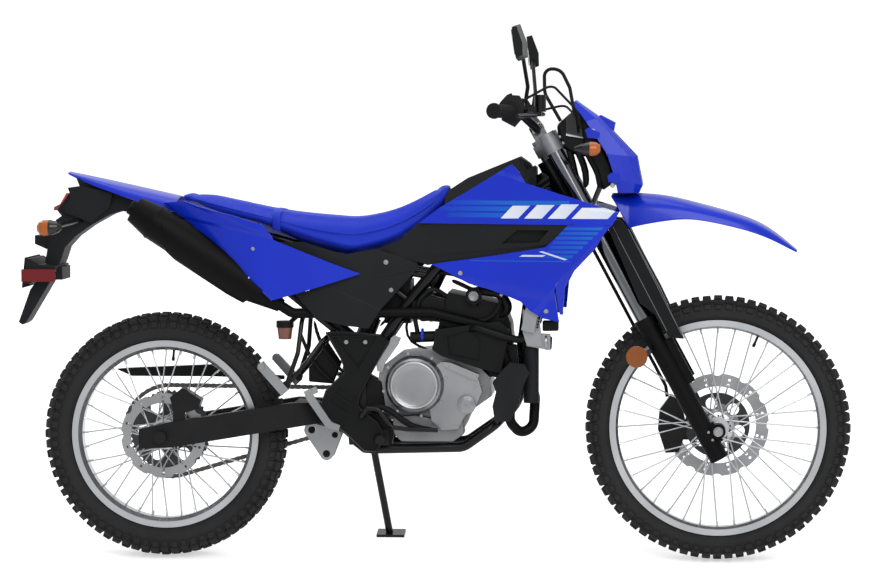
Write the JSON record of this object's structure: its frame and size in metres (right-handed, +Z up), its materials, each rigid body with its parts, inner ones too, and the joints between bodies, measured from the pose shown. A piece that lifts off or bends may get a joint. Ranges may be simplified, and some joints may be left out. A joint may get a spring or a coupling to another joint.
{
  "type": "dual sport motorcycle",
  "caption": "Single-seat-bench dual sport motorcycle on wire wheels with knobby tyres, telescopic fork, blue bodywork and upswept silencer, leaning on its side stand.",
  "frame": {"origin": "centre of the bounding box in plan, on the floor under the tyres and the stand", "axes": "+X forward, +Y to the rider's left, +Z up; the machine leans 9 degrees to its left on the side stand"},
  "size_m": [2.1508, 0.9266, 1.4203],
  "materials": {
    "tyre": "knobby off-road tread",
    "wheel_metal": "polished alloy rim and hub with steel spokes",
    "disc_steel": "ground brake and sprocket steel",
    "chrome": "hard chrome fork tubes",
    "satin_metal": "satin alloy",
    "engine_metal": "cast alloy",
    "chain_steel": "oiled roller chain",
    "black_metal": "gloss black paint",
    "black_plastic": "textured black plastic",
    "blue_plastic": "gloss blue moulded plastic",
    "soft_rubber": "soft rubber",
    "seat_cover": "blue and black grained seat cover",
    "amber_lens": "amber lens",
    "red_lens": "red lens"
  },
  "bodies": {
    "chassis": {"frame": "black_metal", "swingarm": "black_metal", "shock": "black_metal", "engine_case": "engine_metal", "engine_covers": "engine_metal", "cylinder": "black_plastic", "radiator": "satin_metal", "canisters": "black_plastic", "header": "black_metal", "silencer": "black_metal", "fuel_tank": "black_plastic", "shrouds": "blue_plastic", "tank_covers": "black_plastic", "seat": "seat_cover", "side_panels": "blue_plastic", "side_covers": "black_plastic", "rear_fender": "blue_plastic", "tail_unit": "black_plastic", "tail_light": "red_lens", "rear_signals": "amber_lens", "rear_caliper": "black_metal", "chain": "chain_steel", "foot_controls": "black_metal", "alloy_brackets": "satin_metal", "brackets": "black_plastic"},
    "steering": {"fork_tubes": "chrome", "fork_sliders": "black_metal", "fork_clamps": "satin_metal", "fork_guards": "black_plastic", "front_fender": "blue_plastic", "cowl": "blue_plastic", "headlight": "black_plastic", "front_signals": "amber_lens", "handlebar": "black_metal", "grips": "soft_rubber", "mirrors": "black_plastic", "cables": "soft_rubber", "front_caliper": "satin_metal"},
    "front_wheel": {"front_tyre": "tyre", "front_wheel": "wheel_metal", "front_disc": "disc_steel"},
    "rear_wheel": {"rear_tyre": "tyre", "rear_wheel": "wheel_metal", "rear_disc": "disc_steel", "sprocket": "disc_steel"},
    "side_stand": {"side_stand": "black_metal"}
  },
  "joints": [
    {"name": "steering", "type": "hinge", "parent": "chassis", "child": "steering", "pos_m": [0.32917, -0.0552, 0.95381], "axis": [-0.4741, 0.1377, 0.8696], "range_deg": [-40, 40]},
    {"name": "front_wheel_spin", "type": "hinge", "parent": "steering", "child": "front_wheel", "pos_m": [0.73459, -0.15252, 0.33931], "axis": [0, 0.9877, -0.1564], "continuous": true},
    {"name": "rear_wheel_spin", "type": "hinge", "parent": "chassis", "child": "rear_wheel", "pos_m": [-0.69541, -0.15628, 0.31561], "axis": [0, 0.9877, -0.1564], "continuous": true},
    {"name": "side_stand", "type": "hinge", "parent": "chassis", "child": "side_stand", "pos_m": [-0.17541, -0.05227, 0.28192], "axis": [0.0455, 0.986, 0.1602], "range_deg": [0, 88]}
  ]
}
